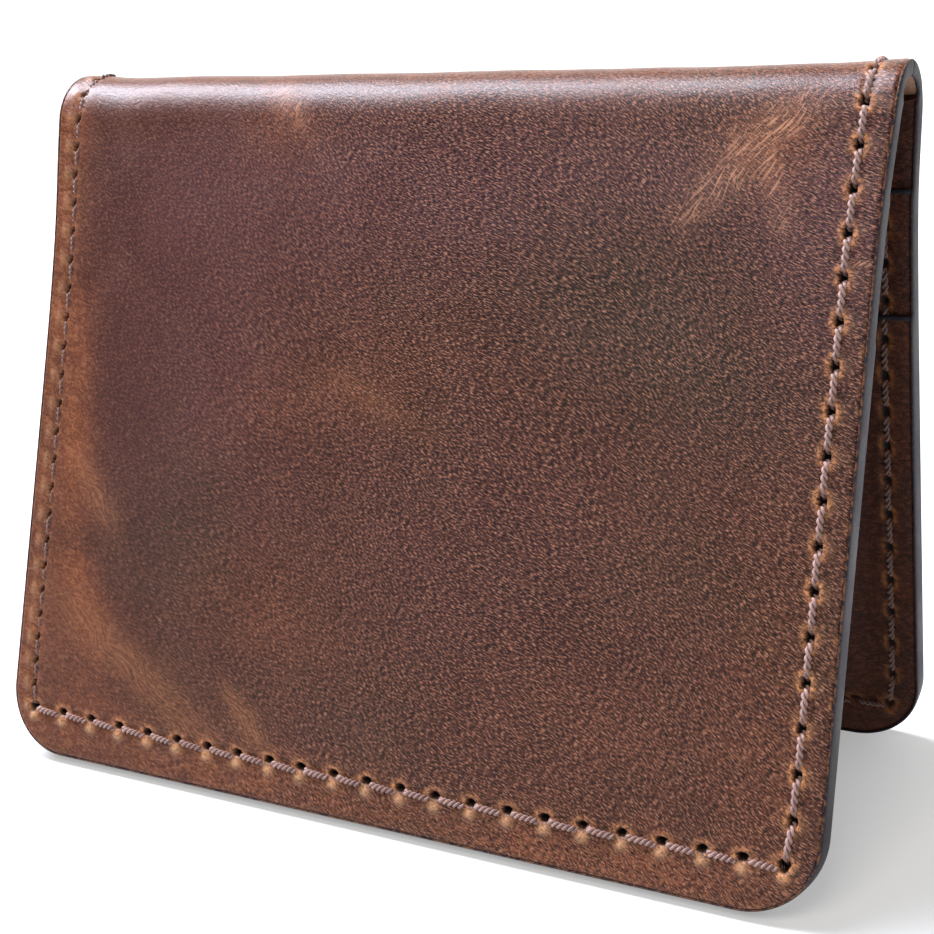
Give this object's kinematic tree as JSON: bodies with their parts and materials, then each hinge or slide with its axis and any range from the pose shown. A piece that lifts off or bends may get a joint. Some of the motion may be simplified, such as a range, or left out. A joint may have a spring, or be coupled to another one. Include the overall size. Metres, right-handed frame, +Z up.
{
  "type": "minimalist wallet",
  "caption": "Slim bifold leather card wallet with stitched covers, painted edges and staggered card pockets inside, standing open like a tent.",
  "frame": {"origin": "on the standing surface, below the middle of the fold", "axes": "+X along the fold, +Z up, and the front cover faces -Y; the wallet stands on the bottom edges of its two covers"},
  "size_m": [0.1, 0.0504, 0.0801],
  "materials": {
    "shell_leather": "oiled pull-up leather, dark reddish brown, satin",
    "lining_leather": "smooth brown leather, satin",
    "pocket_leather": "oiled pull-up leather, dark reddish brown, satin",
    "edge_paint": "slate grey edge paint, rounded and slightly glossy",
    "thread": "thick twisted thread, pale pinkish tan, waxed"
  },
  "bodies": {
    "front": {"outer_shell_front": "shell_leather", "lining_front": "lining_leather", "upper_pocket_front": "pocket_leather", "lower_pocket_front": "pocket_leather", "upper_slot_edge_front": "edge_paint", "lower_slot_edge_front": "edge_paint", "edge_paint_front": "edge_paint", "left_stitches_front": "thread", "right_stitches_front": "thread", "bottom_stitches_front": "thread", "pocket_seam_front": "thread"},
    "spine": {"outer_shell_spine": "shell_leather", "edge_paint_spine": "edge_paint", "left_stitches_spine": "thread", "right_stitches_spine": "thread"},
    "back": {"outer_shell_back": "shell_leather", "lining_back": "lining_leather", "upper_pocket_back": "pocket_leather", "lower_pocket_back": "pocket_leather", "upper_slot_edge_back": "edge_paint", "lower_slot_edge_back": "edge_paint", "edge_paint_back": "edge_paint", "left_stitches_back": "thread", "right_stitches_back": "thread", "bottom_stitches_back": "thread", "pocket_seam_back": "thread"}
  },
  "joints": [
    {"name": "front_bend", "type": "hinge", "parent": "front", "child": "spine", "pos_m": [0, -0.00386, 0.07877], "axis": [1, 0, 0], "range_deg": [-14, 75.6]},
    {"name": "back_bend", "type": "hinge", "parent": "spine", "child": "back", "pos_m": [0, 0.00386, 0.07877], "axis": [1, 0, 0], "range_deg": [-14, 75.6]}
  ],
  "couplings": [
    {"joint": "back_bend", "follows": "front_bend", "ratio": 1}
  ]
}
